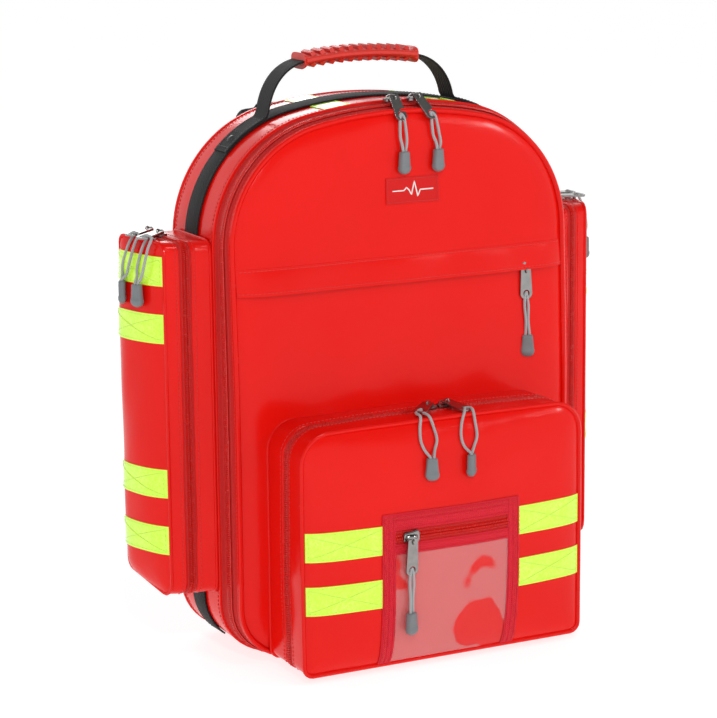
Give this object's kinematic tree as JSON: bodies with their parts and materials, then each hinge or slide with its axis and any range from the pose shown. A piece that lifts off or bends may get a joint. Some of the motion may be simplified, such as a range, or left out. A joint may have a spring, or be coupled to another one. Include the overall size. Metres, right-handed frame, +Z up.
{
  "type": "trauma backpack",
  "caption": "Upright zipped backpack in glossy red coated fabric with a front pocket, side pockets, reflective tape, a clear window, a carrying handle and padded straps.",
  "frame": {"origin": "middle of the underside of the base panel", "axes": "+X to the right seen from the front, +Y towards the back panel and straps, +Z up"},
  "size_m": [0.455, 0.2677, 0.519],
  "materials": {
    "pvc_red": "glossy PVC-coated polyester",
    "fabric_black": "matt black coated polyester",
    "board": "stiff polyethylene sheet",
    "webbing_black": "woven polyester webbing",
    "reflective_tape": "fluorescent yellow-green prismatic tape",
    "zip_red": "red zip tape with nylon coil",
    "pad_mesh": "black spacer mesh over foam",
    "webbing_red": "red woven binding",
    "clear_film": "clear flexible PVC film",
    "grip_rubber": "soft red moulded rubber",
    "plastic_black": "moulded acetal",
    "nickel": "nickel plated zinc",
    "pull_rubber": "grey moulded rubber",
    "cord_grey": "light grey braided cord",
    "lining": "grey nylon lining"
  },
  "bodies": {
    "root": {"main_gusset": "pvc_red", "rear_panel": "fabric_black", "frame_sheet": "board", "base_panel": "fabric_black", "gusset_webbing": "webbing_black", "top_reflectors": "reflective_tape", "main_zip_rear": "zip_red", "back_pad": "pad_mesh", "left_pocket_body": "pvc_red", "left_zip_rear": "zip_red", "right_pocket_body": "pvc_red", "right_zip_rear": "zip_red"},
    "main_lid": {"front_panel": "pvc_red", "main_zip_front": "zip_red", "upper_zip": "zip_red", "front_pocket_body": "pvc_red", "front_zip_rear": "zip_red"},
    "flap": {"weather_flap": "pvc_red"},
    "front_lid": {"front_pocket_lid": "pvc_red", "front_zip_front": "zip_red", "front_reflectors": "reflective_tape", "window_frame": "webbing_red", "window_sheet": "clear_film", "window_zip": "zip_red"},
    "left_lid": {"left_pocket_lid": "pvc_red", "left_zip_front": "zip_red", "left_reflectors": "reflective_tape", "left_slider_rear": "nickel"},
    "right_lid": {"right_pocket_lid": "pvc_red", "right_zip_front": "zip_red", "right_reflectors": "reflective_tape", "right_slider_rear": "nickel"},
    "handle": {"handle_webbing": "webbing_black", "handle_grip": "grip_rubber"},
    "left_strap": {"left_shoulder_pad": "pad_mesh", "left_ladder_lock": "plastic_black", "left_sternum_strap": "plastic_black"},
    "left_tail": {"left_lower_webbing": "webbing_black"},
    "right_strap": {"right_shoulder_pad": "pad_mesh", "right_ladder_lock": "plastic_black", "right_sternum_strap": "plastic_black"},
    "right_tail": {"right_lower_webbing": "webbing_black"},
    "main_slider_left": {"main_slider_left": "nickel"},
    "main_pull_left": {"main_pull_left": "pull_rubber"},
    "main_slider_right": {"main_slider_right": "nickel"},
    "main_pull_right": {"main_pull_right": "pull_rubber"},
    "upper_slider": {"upper_slider": "nickel"},
    "upper_pull": {"upper_pull": "pull_rubber"},
    "front_slider_left": {"front_slider_left": "nickel"},
    "front_pull_left": {"front_pull_left": "pull_rubber"},
    "front_slider_right": {"front_slider_right": "nickel"},
    "front_pull_right": {"front_pull_right": "pull_rubber"},
    "window_slider": {"window_slider": "nickel"},
    "window_pull": {"window_pull": "pull_rubber"},
    "left_slider_front": {"left_slider_front": "nickel"},
    "left_pull_front": {"left_pull_front": "pull_rubber"},
    "left_pull_rear": {"left_pull_rear": "pull_rubber"},
    "right_slider_front": {"right_slider_front": "nickel"},
    "right_pull_front": {"right_pull_front": "pull_rubber"},
    "right_pull_rear": {"right_pull_rear": "pull_rubber"}
  },
  "joints": [
    {"name": "main_lid_hinge", "type": "hinge", "parent": "root", "child": "main_lid", "pos_m": [0, -0.0415, 0.005], "axis": [1, 0, 0], "range_deg": [0, 90]},
    {"name": "flap_hinge", "type": "hinge", "parent": "main_lid", "child": "flap", "pos_m": [0, -0.0603, 0.344], "axis": [-1, 0, 0], "range_deg": [0, 90]},
    {"name": "front_lid_hinge", "type": "hinge", "parent": "main_lid", "child": "front_lid", "pos_m": [0, -0.094, 0.008], "axis": [1, 0, 0], "range_deg": [0, 90]},
    {"name": "left_lid_hinge", "type": "hinge", "parent": "root", "child": "left_lid", "pos_m": [-0.193, 0.047, 0.2], "axis": [0, 0, -1], "range_deg": [0, 110]},
    {"name": "right_lid_hinge", "type": "hinge", "parent": "root", "child": "right_lid", "pos_m": [0.193, 0.047, 0.2], "axis": [0, 0, 1], "range_deg": [0, 110]},
    {"name": "handle_hinge", "type": "hinge", "parent": "root", "child": "handle", "pos_m": [-0.01, 0.013, 0.4813], "axis": [1, 0, 0], "range_deg": [-30, 30]},
    {"name": "left_strap_hinge", "type": "hinge", "parent": "root", "child": "left_strap", "pos_m": [-0.06, 0.057, 0.455], "axis": [1, 0, 0], "range_deg": [0, 10]},
    {"name": "left_tail_hinge", "type": "hinge", "parent": "root", "child": "left_tail", "pos_m": [-0.06, 0.057, 0.024], "axis": [-1, 0, 0], "range_deg": [0, 13.5]},
    {"name": "right_strap_hinge", "type": "hinge", "parent": "root", "child": "right_strap", "pos_m": [0.06, 0.057, 0.455], "axis": [1, 0, 0], "range_deg": [0, 10]},
    {"name": "right_tail_hinge", "type": "hinge", "parent": "root", "child": "right_tail", "pos_m": [0.06, 0.057, 0.024], "axis": [-1, 0, 0], "range_deg": [0, 13.5]},
    {"name": "main_slider_left_slide", "type": "slide", "parent": "main_lid", "child": "main_slider_left", "axis": [-1, 0, 0], "range_m": [0, 0.045]},
    {"name": "main_slider_right_slide", "type": "slide", "parent": "main_lid", "child": "main_slider_right", "axis": [1, 0, 0], "range_m": [0, 0.02]},
    {"name": "upper_slider_slide", "type": "slide", "parent": "main_lid", "child": "upper_slider", "axis": [-1, 0, 0], "range_m": [0, 0.228]},
    {"name": "front_slider_left_slide", "type": "slide", "parent": "front_lid", "child": "front_slider_left", "axis": [-1, 0, 0], "range_m": [0, 0.098]},
    {"name": "front_slider_right_slide", "type": "slide", "parent": "front_lid", "child": "front_slider_right", "axis": [1, 0, 0], "range_m": [0, 0.08]},
    {"name": "window_slider_slide", "type": "slide", "parent": "front_lid", "child": "window_slider", "axis": [1, 0, 0], "range_m": [0, 0.086]},
    {"name": "left_slider_front_slide", "type": "slide", "parent": "left_lid", "child": "left_slider_front", "axis": [0, -1, 0], "range_m": [0, 0.02]},
    {"name": "right_slider_front_slide", "type": "slide", "parent": "right_lid", "child": "right_slider_front", "axis": [0, -1, 0], "range_m": [0, 0.02]},
    {"name": "main_pull_left_swing", "type": "hinge", "parent": "main_slider_left", "child": "main_pull_left", "pos_m": [-0.002, -0.0455, 0.4805], "axis": [-1, 0, 0], "range_deg": [0, 120]},
    {"name": "main_pull_right_swing", "type": "hinge", "parent": "main_slider_right", "child": "main_pull_right", "pos_m": [0.02, -0.0455, 0.4805], "axis": [-1, 0, 0], "range_deg": [0, 120]},
    {"name": "upper_pull_swing", "type": "hinge", "parent": "upper_slider", "child": "upper_pull", "pos_m": [0.116, -0.0607, 0.3212], "axis": [-1, 0, 0], "range_deg": [0, 80]},
    {"name": "front_pull_left_swing", "type": "hinge", "parent": "front_slider_left", "child": "front_pull_left", "pos_m": [0.001, -0.098, 0.2199], "axis": [-0.6616, 0.7498, 0], "range_deg": [0, 95]},
    {"name": "front_pull_right_swing", "type": "hinge", "parent": "front_slider_right", "child": "front_pull_right", "pos_m": [0.017, -0.098, 0.2199], "axis": [-0.9676, -0.2524, 0], "range_deg": [0, 95]},
    {"name": "window_pull_swing", "type": "hinge", "parent": "window_slider", "child": "window_pull", "pos_m": [-0.041, -0.1447, 0.1195], "axis": [-1, 0, 0], "range_deg": [0, 95]},
    {"name": "left_pull_front_swing", "type": "hinge", "parent": "left_slider_front", "child": "left_pull_front", "pos_m": [-0.197, 0.017, 0.3719], "axis": [-0.5736, 0.8191, 0], "range_deg": [0, 95]},
    {"name": "left_pull_rear_swing", "type": "hinge", "parent": "left_lid", "child": "left_pull_rear", "pos_m": [-0.197, 0.037, 0.3719], "axis": [-0.5736, 0.8191, 0], "range_deg": [0, 95]},
    {"name": "right_pull_front_swing", "type": "hinge", "parent": "right_slider_front", "child": "right_pull_front", "pos_m": [0.197, 0.017, 0.3719], "axis": [-0.5736, -0.8191, 0], "range_deg": [0, 95]},
    {"name": "right_pull_rear_swing", "type": "hinge", "parent": "right_lid", "child": "right_pull_rear", "pos_m": [0.197, 0.037, 0.3719], "axis": [-0.5736, -0.8191, 0], "range_deg": [0, 95]}
  ],
  "couplings": [
    {"joint": "left_tail_hinge", "follows": "left_strap_hinge", "ratio": 1.33},
    {"joint": "right_tail_hinge", "follows": "right_strap_hinge", "ratio": 1.33}
  ]
}
